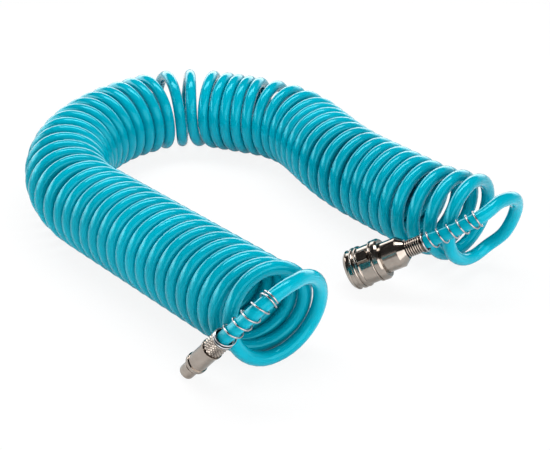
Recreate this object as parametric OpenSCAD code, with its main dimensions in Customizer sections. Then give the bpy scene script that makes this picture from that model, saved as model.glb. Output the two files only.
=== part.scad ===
// Coiled air hose: a spring-wound plastic tube with a plug at one end and a quick coupler at the other,
// laid on the floor in a horseshoe. All sizes are in millimetres and all angles in degrees.

/* [Hose] */
// Outside diameter of the hose
hose_d = 8; // [7.5:0.1:8.1]
// Bore of the hose, which is also the diameter of the stems that it is pushed on
hose_bore_d = 5; // [4.6:0.1:5.1]
// Depth of the bore that is modelled at each end of the hose
hose_bore_depth = 10; // [6:1:14]

/* [Coil] */
// Outside diameter of the coil
coil_d = 57; // [54:0.5:58]
// Gap between neighbouring turns where they lie closest
turn_gap = 0.5; // [0.5:0.05:0.8]
// How far the first turn stands wider than the others, on the radius
first_turn_flare = 2; // [0:0.5:3]
// How far the last turn is lifted off the floor
last_turn_lift = 5.5; // [0:0.5:8]

/* [Plug] */
// Diameter of the nose that goes into a coupler
nose_d = 8.6; // [8:0.1:8.6]
// Length of the nose
nose_len = 7.1; // [6.7:0.1:7.3]
// Diameter of the groove behind the nose
nose_groove_d = 7.8; // [7:0.1:8]
// Diameter of the collar that the coupler's balls catch
collar_d = 12.2; // [11.8:0.1:12.2]
// Length of the collar's bevel
collar_bevel_len = 1.5; // [1.1:0.1:1.6]
// Length of the collar's straight part
collar_len = 2; // [1.6:0.1:2.2]
// Diameter of the barrel behind the collar
barrel_d = 11; // [10.4:0.1:11]
// Length of the barrel
barrel_len = 14; // [12:0.1:16]
// Diameter of the flange in front of the nut
plug_flange_d = 12.1; // [11.6:0.1:12.6]
// Thickness of that flange
plug_flange_t = 1.3; // [0.8:0.1:1.5]
// Air bore of the plug
plug_bore_d = 3.2; // [2.4:0.1:3.4]
// Diameter of the plug's nut
plug_nut_d = 11.2; // [10.8:0.1:11.8]

/* [Coupler] */
// Diameter of the sleeve's rings
ring_d = 25; // [24.4:0.1:25.6]
// Diameter of the sleeve between the rings
sleeve_d = 23.2; // [22.8:0.1:23.6]
// Length of the sleeve
sleeve_len = 22.5; // [22:0.1:23]
// Height of the raised block on the sleeve, above the sleeve's middle line
block_h = 14.2; // [13:0.1:15]
// Width of the raised block
block_w = 6; // [4:0.5:9]
// Length of the raised block
block_len = 6.6; // [4:0.1:6.8]
// How far the sleeve is pulled back to let go of the plug
sleeve_travel = 4.6; // [4:0.1:4.6]
// Diameter of the socket body inside the sleeve
socket_d = 17.8; // [17.4:0.1:17.8]
// Diameter of the locking balls
ball_d = 3.6; // [3.4:0.1:3.6]
// Number of locking balls
ball_count = 4; // [4:1:4]
// Diameter of the seat hole that the valve closes
valve_hole_d = 9.2; // [8.9:0.1:9.4]
// Bore of the valve chamber
chamber_d = 13.2; // [13:0.1:13.4]
// How far the plug's nose pushes the valve back
valve_travel = 3.8; // [3:0.1:3.8]
// Diameter of the thread between socket body and rear adapter
joint_d = 16; // [15.6:0.1:16.2]
// Diameter of the rear adapter
adapter_d = 18.5; // [18.3:0.1:18.7]
// Length of the rear adapter's straight part behind its flange
adapter_len = 12.9; // [11:0.1:15]
// Length of the rear adapter's cone
cone_len = 3.6; // [2:0.1:5]
// Diameter of the coupler's nut
coupler_nut_d = 10.6; // [10.4:0.1:11.2]

/* [Nuts and stems] */
// Diameter of the threaded neck under each nut
neck_d = 8.6; // [8.5:0.1:8.8]
// Length of that neck
neck_len = 4.7; // [4:0.1:6]
// Length of the stem that the hose is pushed on
stem_len = 4.6; // [4:0.1:6]
// How far the stem's barbs stand out, on the radius
barb_h = 0.2; // [0.1:0.05:0.25]
// Length of each nut's gripping part
nut_len = 9.5; // [8.5:0.1:11]
// Diameter of the nut's rear neck, which carries the strain spring
nut_neck_d = 9.8; // [9.6:0.1:10]
// Length of that rear neck
nut_neck_len = 2.2; // [1.8:0.1:3]

/* [Springs] */
// Wire of the strain springs
strain_wire_d = 1; // [0.8:0.05:1.05]
// Open turns of each strain spring
strain_turns = 5; // [3:1:6]
// Pitch of those open turns
strain_pitch = 6.3; // [5:0.1:7]
// Close turns at each end of a strain spring
close_turns = 1.25; // [1:0.25:2]
// Wire of the springs inside the coupler
inner_wire_d = 0.8; // [0.6:0.05:0.85]
// Turns of the sleeve's spring
sleeve_spring_turns = 5.5; // [4:0.5:6]
// Turns of the valve's spring
valve_spring_turns = 4.5; // [3:0.5:5]

/* [Fits] */
// Clearance on the radius between a part that slides and its guide
slide_fit = 0.1; // [0.06:0.01:0.12]
// Clearance on the radius of a thread, and of the hose in a nut
thread_fit = 0.05; // [0.03:0.01:0.1]
// Clearance at the end of a part that isn't clamped
end_gap = 0.1; // [0.05:0.01:0.2]

/* [Hidden] */
$fn = 72;

hose_colour = "#079db6";
metal_colour = "#c9c5bf";
steel_colour = "#d8dadc";
rubber_colour = "#2a2a2c";

// ---- general functions ----

function unit(v) = v / norm(v);
function level(heading) = [cos(heading), sin(heading), 0];
function pointing(heading, rise) = [cos(heading) * cos(rise), sin(heading) * cos(rise), sin(rise)];
function lerp(a, b, u) = a + (b - a) * u;
function column(points, k) = [for (p = points) p[k]];

// Smooth curve through b and c, with a before them and d after them
function between(a, b, c, d, u) = (2 * b + (c - a) * u + (2 * a - 5 * b + 4 * c - d) * u * u
    + (3 * b - a - 3 * c + d) * u * u * u) / 2;

// The curve through a list of points, without its first and last stretch
function smooth(points, steps) = [
    for (i = [1 : len(points) - 3], k = [0 : steps - 1])
        between(points[i - 1], points[i], points[i + 1], points[i + 2], k / steps),
    points[len(points) - 2]
];

// A hollow tube whose rings, first those of its outside and then those of its inside, run back to the first
module shell(rings) {
    sides = len(rings[0]);
    count = len(rings);
    polyhedron([for (ring = rings) each ring], [
        for (i = [0 : count - 1], k = [0 : sides - 1], half = [0, 1])
            let (next = ((i + 1) % count) * sides, a = i * sides + k, b = i * sides + (k + 1) % sides)
            let (c = next + k, d = next + (k + 1) % sides)
            half == 0 ? [a, c, b] : [b, c, d]
    ]);
}

// A closed tube whose rings are lists of as many points
module tube(rings) {
    sides = len(rings[0]);
    last = (len(rings) - 1) * sides;
    faces = [
        for (k = [2 : sides - 1]) [0, k - 1, k],
        for (i = [0 : len(rings) - 2], k = [0 : sides - 1], half = [0, 1])
            let (a = i * sides + k, b = i * sides + (k + 1) % sides)
            half == 0 ? [a, a + sides, b] : [b, a + sides, b + sides],
        for (k = [2 : sides - 1]) [last, last + k, last + k - 1]
    ];
    polyhedron([for (ring = rings) each ring], faces);
}

// ---- the coil's route ----

hose_r = hose_d / 2;
coil_r = (coil_d - hose_d) / 2;
close_pitch = hose_d + turn_gap;
coil_start = [9.6, -152.8];
coil_heading = 134.1;
front_lean = 16;
half_lean = 8;
lean_ease = 0.1;
open_pitch = 26;
narrowing_pitch = 14.4;
loose_pitch = 11.4;
last_pitch = 12.3;

// Turns, pitch on the inner side of the bend, bend to the left, lean of the turns at the run's start and end
coil_runs = [
    [0.5, open_pitch, 0, 0, 0],
    [0.5, narrowing_pitch, 0, 0, -front_lean],
    [17.25, close_pitch + lean_ease, 0, -front_lean, -front_lean],
    [6.75, close_pitch, -49.5, -front_lean, -half_lean],
    [6.75, close_pitch, -47.6, -half_lean, 0],
    [1, close_pitch, 0, 0, 0],
    [3.5, close_pitch, -57.8, 0, 0],
    [3.75, close_pitch, 0, 0, 0],
    [4.25, close_pitch, -43.5, 0, 0],
    [3.25, close_pitch, 0, 0, 0],
    [4.5, close_pitch, 15, 0, 0],
    [4.75, close_pitch, 0, 0, 0],
    [2.75, loose_pitch, 4, 0, 0],
    [1, last_pitch, 1.6, 0, 0]
];

function total_turns(i = 0) = i == len(coil_runs) ? 0 : coil_runs[i][0] + total_turns(i + 1);
turns = total_turns();
flare_turns = 2;
lift_turns = 3;

// Length of a run's middle line: longer by what the turning of its rings adds to the inner side
function run_way(run) =
    let (turning = run[2] == 0 ? 0 : abs(run[2] + run[4] - run[3]))
    (run[0] * run[1] + turning * PI / 180 * coil_r) / cos(max(abs(run[3]), abs(run[4])));

// Point and heading of the coil's middle line after a share of one run
function advance(at, run, share = 1) =
    let (heading = at[2], next = heading + share * run[2])
    run[2] == 0
        ? [at[0] + share * run_way(run) * cos(heading), at[1] + share * run_way(run) * sin(heading), heading]
        : let (radius = run_way(run) / (run[2] * PI / 180))
            [at[0] + radius * (sin(next) - sin(heading)), at[1] - radius * (cos(next) - cos(heading)), next];

// Point, heading and lean of the coil's middle line at a turn
function locate(turn, i = 0, at = [coil_start[0], coil_start[1], coil_heading]) =
    let (run = coil_runs[i])
    turn <= run[0] || i == len(coil_runs) - 1
        ? concat(advance(at, run, turn / run[0]), lerp(run[3], run[4], turn / run[0]))
        : locate(turn - run[0], i + 1, advance(at, run));

function turn_radius(turn) = coil_r + first_turn_flare * max(0, 1 - turn / flare_turns);
function turn_lift(turn) = last_turn_lift * max(0, 1 - (turns - turn) / lift_turns);
function turn_angle(turn) = 360 * turn + 90;

// Middle of the turn's circle, the direction along the coil and the direction out of it
function coil_middle(turn, foot) =
    let (at = locate(turn)) [at[0], at[1], turn_radius(turn) + hose_r - foot + turn_lift(turn)];
function coil_along(turn) = let (at = locate(turn)) level(at[2] + at[3]);
function coil_out(turn) =
    let (at = locate(turn), angle = turn_angle(turn))
    cos(angle) * level(at[2] + at[3] + 90) + [0, 0, sin(angle)];

function coil_point(turn, foot = foot_cut) = coil_middle(turn, foot) + turn_radius(turn) * coil_out(turn);

// A point given along the coil, to its left and up, from the foot of its first or last ring
function beside(at, p) = [at[0], at[1], 0] + p[0] * level(at[2]) + p[1] * level(at[2] + 90) + [0, 0, p[2]];
function by_start(p) = beside(locate(0), p);
function by_end(p) = beside(locate(turns), p);

// ---- where the two fittings lie ----

floor_gap = 0.1;
nose_chamfer = 0.5;
plug_heading = -28;
plug_rise = 52;
coupler_heading = -9;
coupler_rise = 30;
// Place of the thin disc near the sleeve's front, which the coupler rests on, and how far it stands out
disc_z = 1.7;
disc_step = 0.6;
disc_r = sleeve_d / 2 + disc_step;

// How far the plug's tip lies along the coil from its start, and how far beside its first turn
plug_along_coil = 36.8;
plug_beside_coil = 15.9;
// How far the coupler's front lies back along the coil from its end, and how far beside its last turn
coupler_back_along_coil = 42.7;
coupler_beside_coil = 39.7;

plug_tip = by_start([plug_along_coil, coil_r + first_turn_flare + plug_beside_coil, 0])
    + [0, 0, (nose_d / 2 - nose_chamfer) * cos(plug_rise) + floor_gap];
coupler_front = by_end([-coupler_back_along_coil, -coil_r - coupler_beside_coil, 0])
    + [0, 0, disc_r * cos(coupler_rise) - disc_z * sin(coupler_rise) + floor_gap];

function on_plug(z) = plug_tip + z * pointing(plug_heading, plug_rise);
function on_coupler(z) = coupler_front + z * pointing(coupler_heading, coupler_rise);

// ---- lengths along the plug, from its tip ----

nose_groove_len = 1.25;
nose_groove_z = nose_len;
collar_z = nose_groove_z + nose_groove_len;
barrel_z = collar_z + collar_bevel_len + collar_len;
plug_flange_z = barrel_z + barrel_len;
plug_neck_z = plug_flange_z + plug_flange_t;
plug_stem_z = plug_neck_z + neck_len;

// ---- lengths along the coupler, from its front ----

socket_z = 0.6;
ball_z = 6.5;
land_end_z = 9;
seal_z = barrel_z + ball_z + ball_d / 2 - nose_len + 1;
seal_len = 2;
seat_z = seal_z + seal_len;
seat_t = 1.6;
chamber_z = seat_z + seat_t;
flange_z = 19.3;
flange_t = 1;
joint_len = 6.7;
gasket_t = 1;
gasket_z = flange_z + joint_len;
adapter_floor_z = gasket_z + gasket_t;
cone_z = flange_z + flange_t + adapter_len;
coupler_neck_z = cone_z + cone_len;
coupler_stem_z = coupler_neck_z + neck_len;

// ---- radii in the coupler ----

socket_r = socket_d / 2;
socket_wall = 2.75;
mouth_r = socket_r - socket_wall;
mouth_end_z = 5;
mouth_relief = 0.35;
land_gap = 0.3;
land_r = socket_r + land_gap;
ball_rest_r = land_r - slide_fit - ball_d / 2;
ball_travel = 0.75;
ball_ratio = ball_travel / sleeve_travel;
flange_step = 0.85;
flange_r = adapter_d / 2 + flange_step;
spring_room_r = flange_r + slide_fit;
mouth_ramp_r = land_r + ball_ratio * ball_z;

// ---- nuts: places of the hose's end and of the nut's steps, from the neck's front ----

hose_gap = 0.3;
hose_end = neck_len + hose_gap;
nut_gap = 0.1;

// ---- the hose: its rings, with the flat foot that it rests on ----

rings_per_turn = 8;
foot_cut = hose_d / 10;
outward = 1 / cos(180 / rings_per_turn);
straight_steps = 3;
tail_steps = 3;

function ring_at(middle, across, up, outline) = [for (p = outline) middle + p[0] * across + p[1] * up];
function above_floor(ring) = [for (p = ring) [p[0], p[1], max(p[2], 0)]];
function hexagon(r) = [for (k = [0 : 5]) r * [cos(60 * k), sin(60 * k)]];

coil_outline = [
    [hose_r, 0], [hose_r / 2, hose_r * outward], [-hose_r / 2, hose_r * outward],
    [-hose_r, 0], [-hose_r / 2, -hose_r * outward], [hose_r / 2, -hose_r * outward]
];

function coil_ring(turn) = above_floor(ring_at(
    coil_middle(turn, foot_cut) + turn_radius(turn) * outward * coil_out(turn),
    coil_along(turn), coil_out(turn), coil_outline));
coil_rings = [for (i = [0 : turns * rings_per_turn - 1]) coil_ring((i + 0.5) / rings_per_turn)];

// Rings along a free stretch, kept square to it and turned with the coil that it joins
function square_ring(here, ahead, along, outline) =
    let (across = unit(along - (along * ahead) * ahead))
    ring_at(here, across, cross(ahead, across), outline);
function path_ring(points, i, along, outline) =
    let (before = points[max(i - 1, 0)], after = points[min(i + 1, len(points) - 1)])
    square_ring(points[i], unit(after - before), along, outline);
function path_rings(points, along, outline) = [for (i = [0 : len(points) - 1]) path_ring(points, i, along, outline)];

// The free stretch from the plug to the coil, and the one from the coil to the coupler
plug_hose_z = plug_neck_z + hose_end;
coupler_hose_z = coupler_neck_z + hose_end;
plug_straight = [for (k = [0 : straight_steps]) on_plug(plug_hose_z + k * hose_bore_depth / straight_steps)];
coupler_straight = [for (k = [0 : straight_steps]) on_coupler(coupler_hose_z + k * hose_bore_depth / straight_steps)];
free_run = 8.2;
// Points along the coil, to its left and up, in radii of the coil
plug_free = [[0.281, 1.211, 1.755], [0.055, 0.919, 2.102], [-0.025, 0.485, 2.306]];
coupler_free = [
    [0.3, -1.164, 1.857], [0.639, -0.869, 2.163], [0.696, -0.278, 2.306], [0.75, 0.226, 2.224],
    [0.686, 0.559, 1.898], [0.573, 0.677, 1.429], [0.399, 0.623, 0.939], [0.092, 0.472, 0.531]
];
plug_stretch = concat(
    [plug_straight[straight_steps - 1], plug_straight[straight_steps]],
    [for (p = plug_free) by_start(coil_r * p)],
    [coil_point(0), coil_point(1 / 12)]
);
coupler_stretch = concat(
    [coupler_straight[straight_steps - 1], coupler_straight[straight_steps]],
    [on_coupler(coupler_hose_z + hose_bore_depth + free_run)],
    [for (p = coupler_free) by_end(coil_r * p)],
    [coil_point(turns), coil_point(turns - 1 / 12)]
);
function backwards(list) = [for (i = [len(list) - 1 : -1 : 0]) list[i]];

plug_points = concat([for (k = [0 : straight_steps - 1]) plug_straight[k]], smooth(plug_stretch, tail_steps));
coupler_points = concat([for (k = [0 : straight_steps - 1]) coupler_straight[k]], smooth(coupler_stretch, tail_steps));

hose_hexagon = hexagon(hose_r);
bore_hexagon = hexagon((hose_bore_d / 2 + barb_h + thread_fit) / cos(30));
plug_along = coil_along(0);
coupler_along = coil_along(turns);
from_plug = pointing(plug_heading, plug_rise);
to_coupler = -pointing(coupler_heading, coupler_rise);
hose_rings = concat(
    [for (k = [straight_steps, 0]) square_ring(plug_straight[k], from_plug, plug_along, bore_hexagon)],
    path_rings(plug_points, plug_along, hose_hexagon),
    coil_rings,
    path_rings(backwards(coupler_points), coupler_along, hose_hexagon),
    [for (k = [0, straight_steps]) square_ring(coupler_straight[k], to_coupler, coupler_along, bore_hexagon)]
);

// Least gap between one turn and the next, across the way that they run
turn_gaps = [
    for (i = [0 : len(coil_rings) - rings_per_turn - 1])
        norm(cross(coil_rings[i + rings_per_turn][3] - coil_rings[i][0], unit(coil_rings[i + 1][0] - coil_rings[i][0])))
];
echo(least_gap_between_turns = min(turn_gaps), turns = turns);

// ---- strain springs: each the space that its turns take, a tube round the free stretch ----

strain_sides = 12;
strain_rings = 10;
path_detail = 6;
strain_r = (nut_neck_d / 2 + slide_fit) / cos(180 / strain_sides);
strain_outer_r = nut_neck_d / 2 + slide_fit + strain_wire_d;
strain_len = strain_turns * strain_pitch + 2 * close_turns * (strain_wire_d + turn_gap) + strain_wire_d;

function running_lengths(points) = [
    for (i = 0, way = 0; i < len(points);
        way = way + (i + 1 < len(points) ? norm(points[i + 1] - points[i]) : 0), i = i + 1) way
];
function along_path(points, lengths, way) = [
    for (k = [0 : 2]) lookup(way, [for (i = [0 : len(points) - 1]) [lengths[i], points[i][k]]])
];

function strain_circle(r) = [for (k = [0 : strain_sides - 1]) r * [cos(360 * k / strain_sides), sin(360 * k / strain_sides)]];

function strain_ring(points, lengths, along, start, i, r) =
    let (way = start + strain_len * i / strain_rings)
    square_ring(
        along_path(points, lengths, way),
        unit(along_path(points, lengths, way + 1) - along_path(points, lengths, way - 1)),
        along, strain_circle(r));

module strain_spring(points, along, start) {
    lengths = running_lengths(points);
    shell([
        for (i = [0 : strain_rings]) strain_ring(points, lengths, along, start, i, strain_outer_r),
        for (i = [strain_rings : -1 : 0]) strain_ring(points, lengths, along, start, i, strain_r)
    ]);
}

// ---- the part is drawn with its box's middle at the origin ----

all_points = [for (ring = hose_rings) each ring];
spring_reach = strain_outer_r;
west = min(column(all_points, 0));
east = max(column(all_points, 0));
south = min(concat(column(all_points, 1), [for (p = plug_points) p[1] - spring_reach]));
north = max(column(all_points, 1));
middle = [round(west + east) / 2, round(south + north) / 2, 0];
echo(middle = middle, size = [east - west, north - south]);
echo(plug_axis = pointing(plug_heading, plug_rise), plug_tip = plug_tip - middle);
echo(coupler_axis = pointing(coupler_heading, coupler_rise), coupler_front = coupler_front - middle);
echo(collar_back = barrel_z, seal = seal_z, seat = seat_z, chamber = chamber_z, mouth_r = mouth_r);

module placed() {
    translate(-middle) children();
}

module on_plug_axis() {
    placed() translate(plug_tip) rotate([0, 90 - plug_rise, plug_heading]) children();
}

module on_coupler_axis() {
    placed() translate(coupler_front) rotate([0, 90 - coupler_rise, coupler_heading]) children();
}

// A round piece from its outline of radius and height
module turned(outline) {
    rotate_extrude() polygon(outline);
}

module rod(r, from, to) {
    translate([0, 0, from]) cylinder(r = r, h = to - from);
}

// ---- hose ----

module hose() {
    color(hose_colour) placed() tube(hose_rings);
}

// ---- neck, stem and nut, the same at both ends ----

stem_r = hose_bore_d / 2;
barb_r = stem_r + barb_h;
barb_len = 1.4;
barb_count = 3;

// Outline of the threaded neck and the barbed stem, from the neck's front to the stem's end
function neck_outline(z) = concat(
    [[neck_d / 2, z], [neck_d / 2, z + neck_len], [stem_r, z + neck_len]],
    [for (k = [0 : barb_count - 1], edge = [0, 1])
        let (foot = z + neck_len + stem_len - (barb_count - k) * barb_len)
        edge == 0 ? [barb_r, foot] : [stem_r, foot + barb_len]]
);

nut_hose_r = hose_r + 2 * thread_fit;
nut_bore_len = neck_len + end_gap;
rib_pitch = 1.05;
rib_depth = 0.25;
rib_gap = 0.3;

module nut(r, ribbed) {
    rib_count = floor((nut_len - 1) / rib_pitch);
    difference() {
        union() {
            turned([[0, nut_gap], [r - rib_depth, nut_gap], [r, nut_gap + rib_depth], [r, nut_len - rib_depth],
                [r - rib_depth, nut_len], [0, nut_len]]);
            cylinder(r = nut_neck_d / 2, h = nut_len + nut_neck_len);
        }
        rod(neck_d / 2 + thread_fit, -1, nut_bore_len);
        rod(nut_hose_r, nut_bore_len - 0.1, nut_len + nut_neck_len + 1);
        translate([0, 0, -1]) cylinder(r = r + 1, h = 1 + nut_gap);
        if (ribbed)
            for (k = [1 : rib_count - 1])
                translate([0, 0, k * rib_pitch + nut_gap]) ring_cut(r - rib_depth, r + 1, rib_gap);
    }
}

// A flat ring between two radii
module ring_cut(inner_r, outer_r, t) {
    turned([[inner_r, 0], [outer_r, 0], [outer_r, t], [inner_r, t]]);
}

// ---- plug ----

module plug_body() {
    nose_r = nose_d / 2;
    groove_r = nose_groove_d / 2;
    collar_r = collar_d / 2;
    barrel_r = barrel_d / 2;
    color(metal_colour) on_plug_axis() difference() {
        turned(concat(
            [[0, 0], [nose_r - nose_chamfer, 0], [nose_r, nose_chamfer], [nose_r, nose_len],
                [groove_r, nose_groove_z], [groove_r, collar_z],
                [groove_r + 0.5, collar_z], [collar_r, collar_z + collar_bevel_len],
                [collar_r, barrel_z], [barrel_r, barrel_z], [barrel_r, plug_flange_z],
                [plug_flange_d / 2, plug_flange_z], [plug_flange_d / 2, plug_neck_z]],
            neck_outline(plug_neck_z),
            [[0, plug_stem_z + stem_len]]
        ));
        rod(plug_bore_d / 2, -1, plug_stem_z + stem_len + 1);
    }
}

module plug_nut() {
    color(metal_colour) on_plug_axis() translate([0, 0, plug_neck_z]) nut(plug_nut_d / 2, false);
}

spring_set_back = nut_len + end_gap;

module plug_spring() {
    color(steel_colour) placed() strain_spring(
        concat([on_plug(plug_neck_z), on_plug(plug_hose_z)], smooth(plug_stretch, path_detail)),
        plug_along, spring_set_back);
}

// ---- coupler: rear adapter and its gasket ----

adapter_chamfer = 0.5;
cone_end_r = 5.9;
passage_r = 3;
passage_end_z = cone_z;

module adapter() {
    adapter_r = adapter_d / 2;
    color(metal_colour) on_coupler_axis() difference() {
        turned(concat(
            [[0, flange_z], [flange_r, flange_z], [flange_r, flange_z + flange_t], [adapter_r, flange_z + flange_t],
                [adapter_r, cone_z - adapter_chamfer], [adapter_r - adapter_chamfer, cone_z],
                [cone_end_r, coupler_neck_z]],
            neck_outline(coupler_neck_z),
            [[0, coupler_stem_z + stem_len]]
        ));
        rod(joint_d / 2 + thread_fit, flange_z - 1, adapter_floor_z);
        rod(passage_r, adapter_floor_z - 1, passage_end_z);
        rod(plug_bore_d / 2, passage_end_z - 1, coupler_stem_z + stem_len + 1);
    }
}

gasket_w = 1.1;
gasket_inner_r = joint_d / 2 - gasket_w;

module adapter_gasket() {
    color(rubber_colour) on_coupler_axis() translate([0, 0, gasket_z])
        ring_cut(gasket_inner_r, joint_d / 2, gasket_t);
}

// ---- coupler: socket body, its seal and the ring that keeps the sleeve on ----

mouth_chamfer = 0.8;
keeper_r = 0.6;
keeper_z = 3.1;
keeper_middle_r = socket_r + 0.1;
seal_depth = 1.05;
seal_r = mouth_r + seal_depth;
seal_lip_r = nose_d / 2 + thread_fit;
seat_slope = 0.3;

function ball_angle(k) = 45 + 360 / ball_count * (k - 1);

module ball_seat(k) {
    r = ball_d / 2 + thread_fit;
    rotate([0, 0, ball_angle(k)]) translate([ball_rest_r, 0, ball_z]) {
        sphere(r = r);
        rotate([0, 90, 0]) cylinder(r = r, h = socket_wall * 2);
    }
}

module socket_body() {
    color(metal_colour) on_coupler_axis() difference() {
        turned([
            [0, socket_z], [socket_r - seat_slope, socket_z], [socket_r, socket_z + seat_slope],
            [socket_r, flange_z], [joint_d / 2, flange_z], [joint_d / 2, gasket_z], [0, gasket_z]
        ]);
        rod(mouth_r, socket_z - 1, mouth_end_z + 0.1);
        rod(mouth_r + mouth_relief, mouth_end_z, seal_z);
        translate([0, 0, socket_z])
            cylinder(r1 = mouth_r + mouth_chamfer, r2 = mouth_r, h = mouth_chamfer);
        rod(seal_r, seal_z - end_gap, seat_z);
        rod(valve_hole_d / 2, seat_z - 1, chamber_z + 1);
        rod(chamber_d / 2, chamber_z, gasket_z + 1);
        translate([0, 0, keeper_z]) rotate_extrude() translate([keeper_middle_r, 0]) circle(r = keeper_r);
        for (k = [1 : ball_count]) ball_seat(k);
    }
}

module retaining_ring() {
    color(steel_colour) on_coupler_axis() translate([0, 0, keeper_z])
        rotate_extrude() translate([keeper_middle_r, 0]) circle(r = keeper_r - thread_fit);
}

module lip_seal() {
    lip_t = 0.8;
    color(rubber_colour) on_coupler_axis() translate([0, 0, seal_z]) turned([
        [seal_r - thread_fit, 0], [seal_r - thread_fit, seal_len - end_gap], [seal_lip_r, seal_len - end_gap],
        [seal_lip_r, seal_len - lip_t], [mouth_r - 0.2, 0]
    ]);
}

module ball(k) {
    color(steel_colour) on_coupler_axis() rotate([0, 0, ball_angle(k)])
        translate([ball_rest_r, 0, ball_z]) sphere(r = ball_d / 2);
}

// ---- coupler: sleeve and its spring ----

rim_step = 0.7;
rim_edge = 0.15;
rim_r = sleeve_d / 2 - rim_step;
disc_t = 0.45;
ring_edge = 0.3;
rear_bevel_len = 1.2;
rear_bevel_depth = 0.9;
ring_w = 2.4;
ring_gap = 0.4;
first_ring_z = 4.4;
second_ring_z = first_ring_z + ring_w + ring_gap;
third_ring_z = 16.5;
third_ring_w = 1.5;
fourth_ring_z = 18.8;
rear_lip_t = sleeve_len - flange_z - flange_t - end_gap;

// The step of a ring with broken edges
function ring_step(z, w) = [
    [sleeve_d / 2, z], [ring_d / 2 - ring_edge, z], [ring_d / 2, z + ring_edge],
    [ring_d / 2, z + w - ring_edge], [ring_d / 2 - ring_edge, z + w], [sleeve_d / 2, z + w]
];

module sleeve() {
    block_z = second_ring_z + ring_w;
    block_turn = 217;
    color(metal_colour) on_coupler_axis() difference() {
        union() {
            turned(concat(
                [[0, 0], [rim_r - rim_edge, 0], [rim_r, rim_edge], [disc_r, disc_z], [disc_r, disc_z + disc_t]],
                [[sleeve_d / 2, disc_z + disc_t]],
                ring_step(first_ring_z, ring_w), ring_step(second_ring_z, ring_w),
                ring_step(third_ring_z, third_ring_w),
                [[sleeve_d / 2, fourth_ring_z], [ring_d / 2, fourth_ring_z],
                    [ring_d / 2, sleeve_len - rear_bevel_len], [ring_d / 2 - rear_bevel_depth, sleeve_len], [0, sleeve_len]]
            ));
            rotate([0, 0, block_turn]) translate([0, -block_w / 2, block_z])
                cube([block_h, block_w, block_len]);
        }
        turned([[0, -1], [mouth_ramp_r + ball_ratio, -1], [mouth_ramp_r, 0], [land_r, ball_z],
            [land_r, land_end_z], [spring_room_r, land_end_z], [spring_room_r, sleeve_len - rear_lip_t],
            [adapter_d / 2 + slide_fit, sleeve_len - rear_lip_t], [adapter_d / 2 + slide_fit, sleeve_len + 1],
            [0, sleeve_len + 1]]);
    }
}

// A plain helical spring along the z axis, between two heights, measured over the wire
module helical_spring(r, wire_d, from, to, count) {
    wire_rings = 16;
    bottom = from + wire_d / 2 + end_gap / 2;
    rise = to - from - wire_d - end_gap;
    tube([
        for (i = [0 : count * wire_rings])
            let (turn = i / wire_rings, out = level(360 * turn))
            let (here = r * out + [0, 0, bottom + rise * turn / count])
            let (ahead = unit(2 * PI * r * level(360 * turn + 90) + [0, 0, rise / count]))
            ring_at(here, out, cross(ahead, out), hexagon(wire_d / 2))
    ]);
}

module sleeve_spring() {
    r = (socket_r + spring_room_r) / 2;
    color(steel_colour) on_coupler_axis()
        helical_spring(r, inner_wire_d, land_end_z, flange_z, sleeve_spring_turns);
}

// ---- coupler: valve ----

valve_seal_r = 0.45;
valve_seal_ring_r = valve_hole_d / 2 + 0.7;
valve_seal_z = chamber_z + valve_seal_r + end_gap;
head_z = valve_seal_z - 0.15;
head_t = 1.6;
head_r = chamber_d / 2 - 0.6;
tab_w = 2;
tab_t = 1.2;
valve_nose_r = 3.4;
valve_nose_z = ball_z + ball_d / 2 + barrel_z - valve_travel;
valve_nose_bore_r = 2;
valve_spring_r = 5;
window_w = 1.2;

module valve_poppet() {
    color(metal_colour) on_coupler_axis() difference() {
        union() {
            rod(head_r, head_z, head_z + head_t);
            rod(valve_nose_r, valve_nose_z, head_z + 0.1);
            for (k = [0 : 3])
                rotate([0, 0, 90 * k]) translate([0, -tab_w / 2, head_z + head_t - tab_t])
                    cube([chamber_d / 2 - slide_fit, tab_w, tab_t]);
        }
        rod(valve_nose_bore_r, valve_nose_z - 1, head_z + 0.2);
        for (k = [0, 1])
            rotate([0, 0, 90 * k]) translate([-valve_nose_r - 1, -window_w / 2, head_z - window_w - 0.2])
                cube([2 * valve_nose_r + 2, window_w, window_w]);
        translate([0, 0, valve_seal_z]) rotate_extrude() translate([valve_seal_ring_r, 0])
            circle(r = valve_seal_r + thread_fit);
    }
}

module valve_seal() {
    color(rubber_colour) on_coupler_axis() translate([0, 0, valve_seal_z])
        rotate_extrude() translate([valve_seal_ring_r, 0]) circle(r = valve_seal_r);
}

module valve_spring() {
    color(steel_colour) on_coupler_axis()
        helical_spring(valve_spring_r, inner_wire_d, head_z + head_t, adapter_floor_z, valve_spring_turns);
}

// ---- coupler: nut and strain spring ----

module coupler_nut() {
    color(metal_colour) on_coupler_axis() translate([0, 0, coupler_neck_z]) nut(coupler_nut_d / 2, true);
}

module coupler_spring() {
    color(steel_colour) placed() strain_spring(
        concat([on_coupler(coupler_neck_z), on_coupler(coupler_hose_z)], smooth(coupler_stretch, path_detail)),
        coupler_along, spring_set_back);
}

hose();
plug_body();
plug_nut();
plug_spring();
adapter();
adapter_gasket();
socket_body();
sleeve();
retaining_ring();
sleeve_spring();
ball(1);  // ball_1
ball(2);  // ball_2
ball(3);  // ball_3
ball(4);  // ball_4
lip_seal();
valve_poppet();
valve_seal();
valve_spring();
coupler_nut();
coupler_spring();
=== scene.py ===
import math

import bmesh
import bpy
from mathutils import Matrix, Vector


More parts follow.
